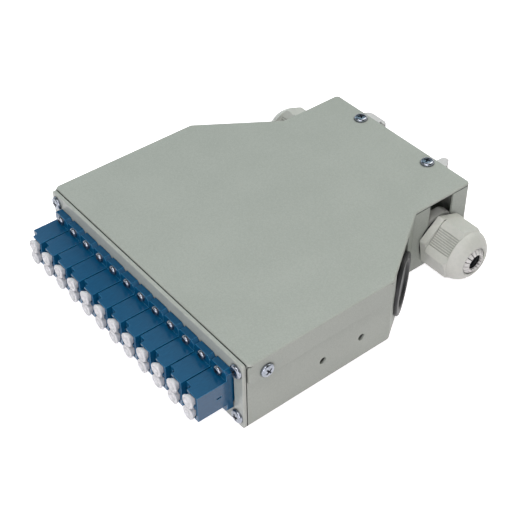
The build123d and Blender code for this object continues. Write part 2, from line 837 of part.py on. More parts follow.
# Blind rubber grommet: outer flange with a dished membrane, neck and inner flange
with BuildPart() as grommet:
    with BuildSketch(Plane.XZ):
        with BuildLine():
            dish_floor = grommet_front_flange - grommet_dish_depth
            Polyline(
                (0, dish_floor),
                (grommet_dish_radius - dish_slope, dish_floor),
                (grommet_dish_radius - dish_lip / 2, grommet_front_flange - dish_lip),
                (grommet_dish_radius + dish_lip, grommet_front_flange),
                (grommet_flange_radius - grommet_round, grommet_front_flange),
            )
            RadiusArc(
                (grommet_flange_radius - grommet_round, grommet_front_flange),
                (grommet_flange_radius, grommet_front_flange - grommet_round),
                grommet_round,
            )
            Polyline(
                (grommet_flange_radius, grommet_front_flange - grommet_round),
                (grommet_flange_radius, 0),
                (grommet_slot_radius - grommet_fit, 0),
                (grommet_slot_radius - grommet_fit, -sheet),
                (grommet_back_radius, -sheet),
                (grommet_back_radius - grommet_back_taper, -sheet - grommet_back_flange),
                (grommet_dish_radius, -sheet - grommet_back_flange),
                (grommet_dish_radius, dish_floor - membrane),
                (0, dish_floor - membrane),
                (0, dish_floor),
            )
        make_face()
    revolve(axis=Axis.Z)
left_grommet_face = Plane(
    origin=(-grommet_mid.X, grommet_mid.Y, grommet_height),
    x_dir=(-slope.X, slope.Y, 0),
    z_dir=(-slope_normal.X, slope_normal.Y, 0),
)
save(placed(grommet.part, [grommet_face]), "right_grommet")
save(placed(grommet.part, [left_grommet_face]), "left_grommet")

# Rail clip body: base on the rear wall, fixed hook, channel for the latch
clip_low = mid_z - clip_width / 2
seat_y = rear_wall_y + clip_base
lip_y = seat_y + rail_lip + rail_lip_fit
hook_top_y = lip_y + clip_hook_thickness
hook_x = -rail_width / 2 - rail_side_fit
clip_end_x = rail_width / 2 - rail_side_fit
channel_depth = latch_thickness + 2 * channel_fit
latch_hook_x = clip_end_x + latch_play
seat_left = hook_x + clip_hook_reach + seat_play
seat_right = latch_hook_x - clip_hook_reach - seat_play
relief_y = seat_y - seat_relief
with BuildPart() as rail_clip:
    with BuildSketch(Plane.XY.offset(clip_low)):
        with BuildLine():
            Polyline(
                (clip_end_x, rear_wall_y),
                (clip_end_x, relief_y),
                (seat_right, relief_y),
                (seat_right, seat_y),
                (seat_left, seat_y),
                (seat_left, relief_y),
                (hook_x, relief_y),
                (hook_x, lip_y),
                (hook_x + clip_hook_reach, lip_y),
                (hook_x + clip_hook_reach, lip_y + clip_hook_thickness / 2),
                (hook_x + clip_hook_reach - 1.4, hook_top_y),
                (hook_x - clip_hook_body, hook_top_y),
                (hook_x - clip_hook_body, rear_wall_y),
                close=True,
            )
        make_face()
    extrude(amount=clip_width)
    fillet(rail_clip.edges().filter_by(Axis.Z).group_by(Axis.X)[0].sort_by(Axis.Y)[-1], 2 * clip_fillet)
    # Channel against the wall, open to the right
    with BuildSketch(Plane.XZ.offset(-rear_wall_y)):
        channel_start = latch_inner_end - latch_play
        with Locations(((channel_start + clip_end_x) / 2, mid_z)):
            Rectangle(clip_end_x - channel_start, channel_width + 2 * channel_fit)
    extrude(amount=-channel_depth, mode=Mode.SUBTRACT)
    # Peg that the spring bears on
    with BuildSketch(Plane.XZ.offset(-(rear_wall_y + channel_fit))):
        peg_x = latch_window_start + latch_window_length - peg_length / 2 - channel_fit
        with Locations((peg_x, mid_z)):
            Rectangle(peg_length, peg_width)
    extrude(amount=-channel_depth)
    # Countersunk holes
    with BuildSketch(Plane.XZ.offset(-rear_wall_y)):
        with Locations((0, mid_z)):
            with GridLocations(clip_screw_spacing_x, clip_screw_spacing_z, 2, 2):
                Circle(m25_radius + screw_fit)
    extrude(amount=-clip_base, mode=Mode.SUBTRACT)
    sink_depth = m25_head_radius - m25_radius
    clip_screw_planes = [
        Plane(origin=(sx * clip_screw_x, seat_y, mid_z + sz * clip_screw_z), x_dir=(1, 0, 0), z_dir=(0, 1, 0))
        for sx in (-1, 1)
        for sz in (-1, 1)
    ]
    with Locations(*clip_screw_planes):
        Cone(
            m25_radius + screw_fit,
            m25_head_radius + screw_fit,
            sink_depth,
            align=(Align.CENTER, Align.CENTER, Align.MAX),
            mode=Mode.SUBTRACT,
        )
save(rail_clip.part, "rail_clip")

# Sliding latch: plate in the channel, hook over the rail edge, grip with a tool slot
latch_low = mid_z - channel_width / 2
latch_y = rear_wall_y + channel_fit
grip_x = latch_hook_x + latch_wall
grip_top_y = hook_top_y + grip_height
with BuildPart() as rail_latch:
    with BuildSketch(Plane.XY.offset(latch_low)):
        with BuildLine():
            Polyline(
                (latch_inner_end, latch_y),
                (grip_x + 1, latch_y),
                (grip_x + 1, hook_top_y),
                (latch_hook_x - clip_hook_reach + 1.4, hook_top_y),
                (latch_hook_x - clip_hook_reach, lip_y + clip_hook_thickness / 2),
                (latch_hook_x - clip_hook_reach, lip_y),
                (latch_hook_x, lip_y),
                (latch_hook_x, latch_y + latch_thickness),
                (latch_inner_end, latch_y + latch_thickness),
                close=True,
            )
        make_face()
    extrude(amount=channel_width)
    with BuildSketch(Plane.XY.offset(clip_low)):
        with BuildLine():
            Polyline(
                (grip_x, latch_y),
                (grip_x + grip_length, latch_y),
                (grip_x + grip_length, lip_y),
                (grip_x + grip_length * 0.55, grip_top_y),
            )
            ThreePointArc(
                (grip_x + grip_length * 0.55, grip_top_y),
                (grip_x + grip_length * 0.28, grip_top_y + 0.05),
                (grip_x, hook_top_y),
            )
            Line((grip_x, hook_top_y), (grip_x, latch_y))
        make_face()
    extrude(amount=clip_width)
    with BuildSketch(Plane.XZ.offset(-latch_y)):
        with Locations((latch_window_start + latch_window_length / 2, mid_z)):
            Rectangle(latch_window_length, latch_window_width)
        with Locations((grip_x + grip_length * 0.6, mid_z)):
            Rectangle(grip_slot, clip_width * 0.3)
    extrude(amount=-(grip_top_y - latch_y + 1), mode=Mode.SUBTRACT)
save(rail_latch.part, "rail_latch")

# Serpentine strip spring in the latch window
spring_start = latch_window_start
spring_end = peg_x - peg_length / 2
spring_step = (spring_end - spring_start - spring_strip) / (2 * spring_turns)
spring_points = []
for i in range(2 * spring_turns + 1):
    x = spring_start + spring_strip / 2 + i * spring_step
    reach = spring_width / 2 * (1 if i % 2 else -1)
    spring_points += [(x, mid_z - reach), (x, mid_z + reach)]
with BuildPart() as latch_spring:
    with BuildSketch(Plane.XZ.offset(-(latch_y + channel_fit))):
        with BuildLine() as path:
            Polyline(*spring_points)
        trace(line_width=spring_strip)
    extrude(amount=-(latch_thickness - channel_fit))
save(latch_spring.part, "latch_spring")

# Clip screws from the rail side, with nuts inside the rear wall
m25_screw = flat_screw(m25_radius, clip_base + sheet + nut_thickness + 0.5, m25_head_radius)
save(placed(m25_screw, clip_screw_planes), "clip_screws")
m25_nut = hex_nut(m25_nut_flats, nut_thickness, m25_radius + screw_fit)
clip_nut_planes = [
    Plane(
        origin=(sx * clip_screw_x, rear_wall_y - sheet - nut_thickness, mid_z + sz * clip_screw_z),
        x_dir=(1, 0, 0),
        z_dir=(0, 1, 0),
    )
    for sx in (-1, 1)
    for sz in (-1, 1)
]
save(placed(m25_nut, clip_nut_planes), "clip_nuts")

# Splice holder: two combs on one base
with BuildPart() as splice_holder:
    with BuildSketch(Plane.XY.offset(sheet)):
        with Locations((0, holder_y)):
            RectangleRounded(holder_length, holder_width, corner_radius)
    extrude(amount=holder_base)
    comb_y = (holder_width - holder_comb) / 2
    with BuildSketch(Plane.XY.offset(sheet + holder_base)):
        with Locations((0, holder_y - comb_y), (0, holder_y + comb_y)):
            Rectangle(holder_length - 2 * corner_radius, holder_comb)
    extrude(amount=holder_slot_height)
    with BuildSketch(Plane.XZ.offset(-(holder_y - holder_width / 2))):
        with Locations((0, sheet + holder_base + holder_slot_height / 2 + 0.5)):
            with GridLocations(holder_slot_pitch, 1, holder_slots, 1):
                Rectangle(holder_slot_width, holder_slot_height)
    extrude(amount=-holder_width, mode=Mode.SUBTRACT)
    with BuildSketch(Plane.XY.offset(sheet)):
        with Locations((0, holder_y)):
            with GridLocations(holder_screw_spacing, 1, 2, 1):
                Circle(m3_radius + clearance_fit)
    extrude(amount=holder_base, mode=Mode.SUBTRACT)
save(splice_holder.part, "splice_holder")

holder_screw = pan_screw(m3_radius, holder_base + sheet, m3_head_radius, m3_head_height)
holder_screw_planes = [
    Plane(origin=(s * holder_screw_spacing / 2, holder_y, sheet + holder_base)) for s in (-1, 1)
]
save(placed(holder_screw, holder_screw_planes), "holder_screws")
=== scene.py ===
"""Looks of a DIN rail fibre box: folded sheet steel, a row of duplex adapters with
dust caps, two cable glands, two rubber grommets and a rail clip.

The scene is in metres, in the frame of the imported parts: +X right, +Y to the rail, +Z up.
Pieces are made in millimetres, and mesh_object turns them to metres.
"""

import json
from math import cos, pi, radians, sin
from random import Random

import bpy
import bmesh
from mathutils import Matrix, Vector


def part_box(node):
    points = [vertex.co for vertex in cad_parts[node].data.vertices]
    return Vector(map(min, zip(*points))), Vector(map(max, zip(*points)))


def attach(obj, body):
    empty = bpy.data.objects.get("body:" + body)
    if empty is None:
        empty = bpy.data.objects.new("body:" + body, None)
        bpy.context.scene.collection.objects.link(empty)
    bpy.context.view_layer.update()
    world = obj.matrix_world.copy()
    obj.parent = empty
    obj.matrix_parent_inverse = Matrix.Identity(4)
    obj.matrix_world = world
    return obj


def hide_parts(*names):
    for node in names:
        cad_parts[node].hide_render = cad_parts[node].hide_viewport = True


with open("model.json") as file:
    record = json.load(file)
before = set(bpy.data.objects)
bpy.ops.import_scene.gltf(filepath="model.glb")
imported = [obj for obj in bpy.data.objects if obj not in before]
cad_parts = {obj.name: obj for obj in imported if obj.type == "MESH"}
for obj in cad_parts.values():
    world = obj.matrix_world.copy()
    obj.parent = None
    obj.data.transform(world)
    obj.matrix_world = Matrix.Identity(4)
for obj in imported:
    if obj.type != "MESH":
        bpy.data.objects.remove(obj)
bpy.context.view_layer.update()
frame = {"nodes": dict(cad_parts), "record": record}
MM = 0.001

# Counts, and sizes in millimetres, of the pieces made here
ADAPTERS = 12
ADAPTER_PITCH = 10.0
ADAPTER_SCREWS_APART = 18.0
PORT_PITCH = 6.25
PORT_SHIFT = 1.0
M3_SHANK, M3_HEAD, M3_RISE = 1.45, 3.0, 1.5
M2_SHANK, M2_HEAD, M2_RISE = 1.0, 1.95, 1.4
SCREW_LENGTH, SCREW_TIP = 6.0, 0.4
CAP_NECK, CAP_FLARE, CAP_LIP = 2.2, 3.04, 0.42
CAP_RISE, CAP_DISH = 2.1, 1.1
CAP_DISH_INNER, CAP_DISH_OUTER = 1.2, 1.9
CAP_NECK_FROM, CAP_NECK_TO = -3.0, -0.2
CAP_PLUG, CAP_PLUG_FROM, CAP_PLUG_TO = 2.3, -6.5, -2.6
CAP_WEB, CAP_WEB_RISE = 1.2, 0.8
DISH_STEPS = 6
# A turned profile ends this far from its axis, in mm
NEAR_AXIS = 0.05
# Points nearer than this are one, in metres
SAME_POINT = 1e-7
# Edges that turn by more than this stay hard in the shading, in degrees
SHARP_ANGLE = 40

# Finishes, painted shade: how near another surface makes a coat or a plastic darker, in mm
COAT_SHADE_REACH, PLASTIC_SHADE_REACH = 0.8, 0.5
# Width of the clouds in a coat, in mm, and their weight beside the orange peel
COAT_CLOUD, CLOUD_WEIGHT = 22.0, 0.35
COAT_IOR, PLASTIC_IOR = 1.5, 1.5
# Sockets of the Mix node: its two colours and what they make
MIX_FIRST, MIX_SECOND, MIX_RESULT = 6, 7, 2


def linear(hex_colour):
    """sRGB hex colour as linear red, green, blue and alpha."""
    parts = [int(hex_colour[i:i + 2], 16) / 255 for i in (0, 2, 4)]
    return [p / 12.92 if p <= 0.04045 else ((p + 0.055) / 1.055) ** 2.4 for p in parts] + [1.0]


def add(tree, kind, settings=None, values=None, links=None):
    """Add a node with its settings, its socket values and the links into it."""
    made = tree.nodes.new(kind)
    for name, value in (settings or {}).items():
        setattr(made, name, value)
    for name, value in (values or {}).items():
        made.inputs[name].default_value = value
    for name, source in (links or {}).items():
        tree.links.new(source, made.inputs[name])
    return made


def new_material(name):
    """New material, its node tree, its shader and the place on the object, in metres."""
    material = bpy.data.materials.new(name)
    material.use_nodes = True
    tree = material.node_tree
    shader = tree.nodes["Principled BSDF"]
    place = add(tree, "ShaderNodeTexCoord").outputs["Object"]
    return material, tree, shader, place


def per_mm(size_mm):
    """Texture scale at which one feature is this many millimetres."""
    return 1 / (size_mm * MM)


def tint(tree, factor, dark, light, low=0.35, high=0.65):
    """Colour between two hex colours as the factor goes from low to high."""
    ramp = add(tree, "ShaderNodeValToRGB", links={"Fac": factor})
    ramp.color_ramp.elements[0].position = low
    ramp.color_ramp.elements[1].position = high
    ramp.color_ramp.elements[0].color = linear(dark)
    ramp.color_ramp.elements[1].color = linear(light)
    return ramp.outputs["Color"]


def painted_edge_highlight(tree, edge, colour, highlight_colour, share):
    """The colour, drawn towards a lighter one along the rounded edges, as a painted highlight."""
    ground = add(tree, "ShaderNodeNewGeometry")
    same = add(tree, "ShaderNodeVectorMath", {"operation": "DOT_PRODUCT"}, links={
        0: edge.outputs["Normal"], 1: ground.outputs["Normal"]})
    turn = add(tree, "ShaderNodeMapRange", values={
        "From Min": 0.99, "From Max": 0.9, "To Max": share}, links={
        "Value": same.outputs["Value"]})
    mixed = add(tree, "ShaderNodeMix", {"data_type": "RGBA"}, {MIX_SECOND: linear(highlight_colour)}, {
        0: turn.outputs[0], MIX_FIRST: colour})
    return mixed.outputs[MIX_RESULT]


def painted_seam_shade(tree, colour, reach_mm, share):
    """The colour, darker where another surface is this near: painted shade in gaps and seams."""
    free = add(tree, "ShaderNodeAmbientOcclusion", {"samples": 6}, {"Distance": reach_mm * MM})
    left = add(tree, "ShaderNodeMapRange", values={
        "From Min": 0.4, "From Max": 0.9, "To Min": 1 - share, "To Max": 1.0}, links={
        "Value": free.outputs["AO"]})
    return add(tree, "ShaderNodeVectorMath", {"operation": "SCALE"}, links={
        0: colour, "Scale": left.outputs[0]}).outputs[0]


def powder_coat(name, dark, light, grain_mm, depth_mm, roughness, edge_mm):
    """Polyester powder coat on sheet steel, sprayed dry and baked.

    It melts into a thick satin skin with fine orange peel, and wraps over cut edges,
    so that light breaks into a low mottle and edges show as a soft line.
    """
    material, tree, shader, place = new_material(name)
    peel = add(tree, "ShaderNodeTexNoise", values={
        "Scale": per_mm(grain_mm), "Detail": 2.0, "Roughness": 0.55}, links={"Vector": place})
    cloud = add(tree, "ShaderNodeTexNoise", values={
        "Scale": per_mm(COAT_CLOUD), "Detail": 1.0}, links={"Vector": place})
    both = add(tree, "ShaderNodeMath", {"operation": "MULTIPLY_ADD"}, {1: CLOUD_WEIGHT}, {
        0: cloud.outputs["Fac"], 2: peel.outputs["Fac"]})
    mottle = tint(tree, both.outputs[0], dark, light, low=0.5, high=0.85)
    # Painted shade: the coat is drawn nearly black in narrow gaps between parts
    colour = painted_seam_shade(tree, mottle, COAT_SHADE_REACH, share=0.94)
    edge = add(tree, "ShaderNodeBevel", {"samples": 4}, {"Radius": edge_mm * MM})
    bump = add(tree, "ShaderNodeBump", values={"Strength": 0.5, "Distance": depth_mm * MM}, links={
        "Height": peel.outputs["Fac"], "Normal": edge.outputs["Normal"]})
    tree.links.new(colour, shader.inputs["Base Color"])
    tree.links.new(bump.outputs["Normal"], shader.inputs["Normal"])
    shader.inputs["Roughness"].default_value = roughness
    shader.inputs["IOR"].default_value = COAT_IOR
    return material


def moulded(name, dark, light, grain_mm, depth_mm, roughness, edge_mm, glow_mm=0.0,
            ior=PLASTIC_IOR, flow=(1.0, 1.0, 1.0), highlight_colour=None, seam_shade=0.5):
    """Moulded plastic, rubber or ceramic: the steel mould's faint grain, drawn along the flow.

    glow_mm is how far light travels inside a pale, milky resin. flow scales the grain on
    each axis, and a smaller number draws it out. highlight_colour is a painted highlight along
    the rounded edges, and seam is how much painted shade darkens the narrow gaps.
    """
    material, tree, shader, place = new_material(name)
    drawn = add(tree, "ShaderNodeMapping", values={"Scale": flow}, links={"Vector": place})
    grain = add(tree, "ShaderNodeTexNoise", values={
        "Scale": per_mm(grain_mm), "Detail": 3.0, "Roughness": 0.6}, links={
        "Vector": drawn.outputs[0]})
    colour = painted_seam_shade(tree, tint(tree, grain.outputs["Fac"], dark, light), PLASTIC_SHADE_REACH, seam_shade)
    edge = add(tree, "ShaderNodeBevel", {"samples": 4}, {"Radius": edge_mm * MM})
    bump = add(tree, "ShaderNodeBump", values={"Strength": 0.4, "Distance": depth_mm * MM}, links={
        "Height": grain.outputs["Fac"], "Normal": edge.outputs["Normal"]})
    if highlight_colour:
        # Painted highlight: the colour turns lighter along the rounded edges
        colour = painted_edge_highlight(tree, edge, colour, highlight_colour, share=0.8)
    tree.links.new(colour, shader.inputs["Base Color"])
    tree.links.new(bump.outputs["Normal"], shader.inputs["Normal"])
    shader.inputs["Roughness"].default_value = roughness
    shader.inputs["IOR"].default_value = ior
    if glow_mm:
        shader.inputs["Subsurface Weight"].default_value = 0.6
        shader.inputs["Subsurface Radius"].default_value = (1.0, 1.0, 1.0)
        shader.inputs["Subsurface Scale"].default_value = glow_mm * MM
    return material


def bright_metal(name, dark, light, roughness, stain_mm):
    """Barrel plated or cold rolled metal: smooth, with cloudy tone from handling."""
    material, tree, shader, place = new_material(name)
    stain = add(tree, "ShaderNodeTexNoise", values={
        "Scale": per_mm(stain_mm), "Detail": 4.0, "Roughness": 0.65}, links={"Vector": place})
    colour = tint(tree, stain.outputs["Fac"], dark, light)
    worn = add(tree, "ShaderNodeMapRange", values={
        "To Min": roughness * 0.75, "To Max": roughness * 1.3}, links={
        "Value": stain.outputs["Fac"]})
    bump = add(tree, "ShaderNodeBump", values={"Strength": 0.25, "Distance": 0.01 * MM}, links={
        "Height": stain.outputs["Fac"]})
    tree.links.new(colour, shader.inputs["Base Color"])
    tree.links.new(worn.outputs[0], shader.inputs["Roughness"])
    tree.links.new(bump.outputs["Normal"], shader.inputs["Normal"])
    shader.inputs["Metallic"].default_value = 1.0
    return material


# Lid and tray: satin powder coat with visible orange peel, grey with a green cast
housing_coat = powder_coat("powder_coat_textured", "A4ABA2", "AEB5AC",
                           grain_mm=0.55, depth_mm=0.05, roughness=0.5, edge_mm=0.25)
# Adapter plate: the same paint on a flat blank, laid smoother, so it mirrors more light
plate_coat = powder_coat("powder_coat_smooth", "ABB1A9", "B1B7AE",
                         grain_mm=1.6, depth_mm=0.012, roughness=0.27, edge_mm=0.3)
# Adapters: PBT, moulded and welded, deep blue with faint drag lines, a painted highlight along the
# edges and painted shade in the gaps
adapter_blue = moulded("moulded_blue_pbt", "064A70", "0A547B",
                       grain_mm=0.25, depth_mm=0.004, roughness=0.2, edge_mm=0.28,
                       flow=(1.0, 0.1, 1.0), highlight_colour="3C9CCB", seam_shade=0.9)
# Dust caps: low-density polyethylene, milky and soft, with light passing through
cap_white = moulded("moulded_milky_polyethylene", "D4D7D8", "DDDFE0",
                    grain_mm=1.2, depth_mm=0.004, roughness=0.4, edge_mm=0.12,
                    glow_mm=0.4, seam_shade=0.3)
# Glands: polyamide 6, moulded light grey, a little waxy
gland_grey = moulded("moulded_grey_polyamide", "C9CDC5", "CFD2CA",
                     grain_mm=1.6, depth_mm=0.012, roughness=0.4, edge_mm=0.18,
                     glow_mm=0.4, seam_shade=0.4)
# Clamping baskets: the same polyamide without pigment, near white
basket_white = moulded("moulded_natural_polyamide", "DADBD7", "E4E5E1",
                       grain_mm=0.6, depth_mm=0.01, roughness=0.45, edge_mm=0.1, glow_mm=0.8)
# Rail clip: polyamide 66, pale grey
clip_grey = moulded("moulded_clip_polyamide", "D5D6D4", "DCDDDB",
                    grain_mm=1.0, depth_mm=0.015, roughness=0.45, edge_mm=0.3, glow_mm=0.5)
# Splice holder: ABS, black, lightly spark-eroded
holder_black = moulded("moulded_black_abs", "1B1C1E", "222326",
                       grain_mm=0.4, depth_mm=0.03, roughness=0.5, edge_mm=0.2)
# Grommets, washers and seals: moulded EPDM rubber, black and slightly bloomed
rubber_black = moulded("moulded_black_rubber", "141618", "1E2123",
                       grain_mm=0.7, depth_mm=0.02, roughness=0.45, edge_mm=0.3)
# Screws and nuts: steel, zinc plated and clear passivated, bright with a blue cast
zinc = bright_metal("zinc_plated_steel", "7C828B", "A6ACB5", roughness=0.24, stain_mm=0.7)
# Inside of the cross recess: the same coat painted nearly black, as painted shade in the deep
# recess
zinc_recess_shade = bright_metal("zinc_recess_painted_shade", "2A2D31", "3C4046", roughness=0.5, stain_mm=0.3)
# Latch spring: stainless spring steel strip
spring_steel = bright_metal("stainless_spring_strip", "9FA1A3", "B9BBBD",
                            roughness=0.3, stain_mm=1.2)
# Alignment sleeves: sintered zirconia, ground and polished, ivory white
zirconia = moulded("polished_zirconia", "E9E7DD", "F1EFE7",
                   grain_mm=0.5, depth_mm=0.002, roughness=0.15, edge_mm=0.05,
                   glow_mm=0.4, ior=2.1)

FINISHES = {
    "powder_coat": housing_coat,
    "zinc": zinc,
    "ceramic": zirconia,
    "cap_plastic": cap_white,
    "adapter_plastic": adapter_blue,
    "gland_polyamide": gland_grey,
    "black_rubber": rubber_black,
    "clip_plastic": clip_grey,
    "holder_plastic": holder_black,
    "spring_steel": spring_steel,
}
ODD_FINISHES = {
    "adapter_plate": plate_coat,
    "right_gland_basket": basket_white,
    "left_gland_basket": basket_white,
}
SLOT_OF = {row["node"]: row["material_slot"] for row in frame["record"]["subparts"]}
BODIES = frame["record"]["behaviour"]["bodies"]
BODY_OF = {node: body for body, nodes in BODIES.items() for node in nodes}


def dress(node):
    """Give a CAD node its own finish, or else that of its slot."""
    finish = ODD_FINISHES.get(node, FINISHES[SLOT_OF[node]])
    mesh = frame["nodes"][node].data
    mesh.materials.clear()
    mesh.materials.append(finish)


for cad_node in frame["nodes"]:
    dress(cad_node)


def arc(centre, radii, start, end, steps):
    """Points (radius, height) along an elliptical arc between two angles in degrees."""
    angles = [radians(start + (end - start) * k / steps) for k in range(steps + 1)]
    return [(centre[0] + radii[0] * cos(a), centre[1] + radii[1] * sin(a)) for a in angles]


def turned(profile, steps):
    """Mesh data of a profile of (radius, height) turned about Z, with a flat face at each end."""
    points = []
    for radius, height in profile:
        for k in range(steps):
            angle = 2 * pi * k / steps
            points.append((radius * cos(angle), radius * sin(angle), height))
    faces = [tuple(reversed(range(steps))), tuple(range(len(points) - steps, len(points)))]
    for low in range(0, len(points) - steps, steps):
        for k in range(steps):
            after = (k + 1) % steps
            faces.append((low + k, low + after, low + steps + after, low + steps + k))
    return points, faces


def block(low, high):
    """Mesh data of a tapered block between two rectangles, each (half of x, half of y, height)."""
    points = [(x * half_x, y * half_y, z) for half_x, half_y, z in (low, high)
              for x, y in ((-1, -1), (1, -1), (1, 1), (-1, 1))]
    faces = [(3, 2, 1, 0), (4, 5, 6, 7), (0, 1, 5, 4), (1, 2, 6, 5), (2, 3, 7, 6), (3, 0, 4, 7)]
    return points, faces


def gathered(placed):
    """Mesh data of several pieces, each given as mesh data and its place, a matrix in mm."""
    points, faces, marks = [], [], []
    for data, place in placed:
        start = len(points)
        points += [tuple(place @ Vector(p)) for p in data[0]]
        faces += [tuple(start + i for i in f) for f in data[1]]
        marks += data[2] if len(data) > 2 else [0] * len(data[1])
    return points, faces, marks


def mesh_object(name, points, faces, marks=None):
    """Object with this mesh, in metres; marks is the material number of each face."""
    mesh = bpy.data.meshes.new(name)
    mesh.from_pydata([[v * MM for v in p] for p in points], [], faces)
    if marks:
        mesh.polygons.foreach_set("material_index", marks)
    mesh.validate()
    bm = bmesh.new()
    bm.from_mesh(mesh)
    bmesh.ops.remove_doubles(bm, verts=bm.verts, dist=SAME_POINT)
    bmesh.ops.recalc_face_normals(bm, faces=bm.faces)
    bm.to_mesh(mesh)
    bm.free()
    made = bpy.data.objects.new(name, mesh)
    bpy.context.scene.collection.objects.link(made)
    return made


def applied(made):
    """Mesh data (points in mm, faces) of an object with its modifiers, which is then removed."""
    bpy.context.view_layer.update()
    finished = made.evaluated_get(bpy.context.evaluated_depsgraph_get())
    flat = bpy.data.meshes.new_from_object(finished)
    points = [tuple(v.co / MM) for v in flat.vertices]
    faces = [tuple(p.vertices) for p in flat.polygons]
    bpy.data.objects.remove(made)
    return points, faces


def cross_screw(shank, length, head, rise):
    """Mesh data of a pan head screw along -Z, its head standing on z = 0.

    shank and head are radii. The head is a straight rim, a dome and a nearly flat crown,
    with a tapered cross sunk into it, whose faces are marked 1 to take a dark material: painted
    shade.
    """
    rim, shoulder, crown = rise * 0.35, rise * 0.94, head * 0.58
    tip = shank * 0.75
    blank = [(NEAR_AXIS, -length), (tip, -length), (shank, SCREW_TIP - length), (shank, 0)]
    dome = arc((crown, rim), (head - crown, shoulder - rim), start=0, end=90, steps=8)
    top = [(crown * 0.55, rise * 0.985), (NEAR_AXIS, rise)]
    body = mesh_object("screw_blank", *turned(blank + [(head, 0)] + dome + top, steps=40))
    reach, half_slot = head * 0.62, head * 0.13
    slot_foot = (reach * 0.35, half_slot * 0.84, rise * 0.15)
    slot_mouth = (reach, half_slot, rise * 1.2)
    slot = block(slot_foot, slot_mouth)
    cutters = [mesh_object("recess", *gathered([(slot, Matrix.Rotation(radians(turn), 4, "Z"))]))
               for turn in (0, 90)]
    for cutter in cutters:
        cut = body.modifiers.new("cross", "BOOLEAN")
        cut.operation = "DIFFERENCE"
        cut.solver = "EXACT"
        cut.object = cutter
    points, faces = applied(body)
    for cutter in cutters:
        bpy.data.objects.remove(cutter)
    marks = []
    below_crown = rise * 0.92
    for face in faces:
        x, y, z = (sum(points[i][axis] for i in face) / len(face) for axis in (0, 1, 2))
        marks.append(int(x * x + y * y < reach * reach and 0 < z < below_crown))
    return points, faces, marks


def stand(x, y, z, axis, turn=0.0):
    """Place for a piece made along +Z, so that its +Z points along axis, turned about it."""
    lean = Vector((0, 0, 1)).rotation_difference(Vector(axis)).to_matrix().to_4x4()
    return Matrix.Translation((x, y, z)) @ lean @ Matrix.Rotation(radians(turn), 4, "Z")


def fit(name, node, data, places, *finishes):
    """Put detailed pieces in the place of a CAD node."""
    made = mesh_object(name, *gathered([(data, place) for place in places]))
    made.data.shade_smooth()
    made.data.set_sharp_from_angle(angle=radians(SHARP_ANGLE))
    for finish in finishes:
        made.data.materials.append(finish)
    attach(made, BODY_OF[node])
    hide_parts(node)


X, Y, Z = 0, 1, 2
LOW, HIGH = 0, 1


def far(node, axis, end):
    """Lowest or highest coordinate of a CAD node along an axis, in mm."""
    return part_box(node)[end][axis] / MM


def centre(node, axis):
    """Middle of a CAD node along an axis, in mm."""
    return (far(node, axis, LOW) + far(node, axis, HIGH)) / 2


m3 = cross_screw(M3_SHANK, SCREW_LENGTH, M3_HEAD, M3_RISE)
m2 = cross_screw(M2_SHANK, SCREW_LENGTH, M2_HEAD, M2_RISE)
chance = Random(7)
RIGHT, LEFT, FORWARD, UP = (1, 0, 0), (-1, 0, 0), (0, -1, 0), (0, 0, 1)

# Each screw was stopped at its own angle
plate_face = far("adapter_plate", Y, LOW)
screw_x = far("plate_screws", X, HIGH) - M3_HEAD
screw_low = far("plate_screws", Z, LOW) + M3_HEAD
screw_high = far("plate_screws", Z, HIGH) - M3_HEAD
fit("plate_cross_screws", "plate_screws", m3, [
    stand(screw_x, plate_face, screw_low, FORWARD, turn=24),
    stand(screw_x, plate_face, screw_high, FORWARD, turn=70),
    stand(-screw_x, plate_face, screw_low, FORWARD, turn=35),
    stand(-screw_x, plate_face, screw_high, FORWARD, turn=12)], zinc, zinc_recess_shade)

lid_side = far("cover", X, HIGH)
side_y, side_z = centre("cover_side_screws", Y), centre("cover_side_screws", Z)
fit("lid_side_cross_screws", "cover_side_screws", m3, [
    stand(lid_side, side_y, side_z, RIGHT, turn=38),
    stand(-lid_side, side_y, side_z, LEFT, turn=12)], zinc, zinc_recess_shade)

lid_top = far("cover", Z, HIGH)
rear_x, rear_y = far("cover_rear_screws", X, HIGH) - M3_HEAD, centre("cover_rear_screws", Y)
fit("lid_rear_cross_screws", "cover_rear_screws", m3, [
    stand(rear_x, rear_y, lid_top, UP, turn=20),
    stand(-rear_x, rear_y, lid_top, UP, turn=62)], zinc, zinc_recess_shade)

ear_face = far("adapter_screws", Y, LOW) + M2_RISE
first, middle = centre("adapter_01", X), centre("adapter_01", Z)
columns = [first + k * ADAPTER_PITCH for k in range(ADAPTERS)]
fit("adapter_cross_screws", "adapter_screws", m2, [
    stand(x, ear_face, middle + side * ADAPTER_SCREWS_APART / 2, FORWARD, chance.uniform(0, 90))
    for x in columns for side in (-1, 1)], zinc, zinc_recess_shade)


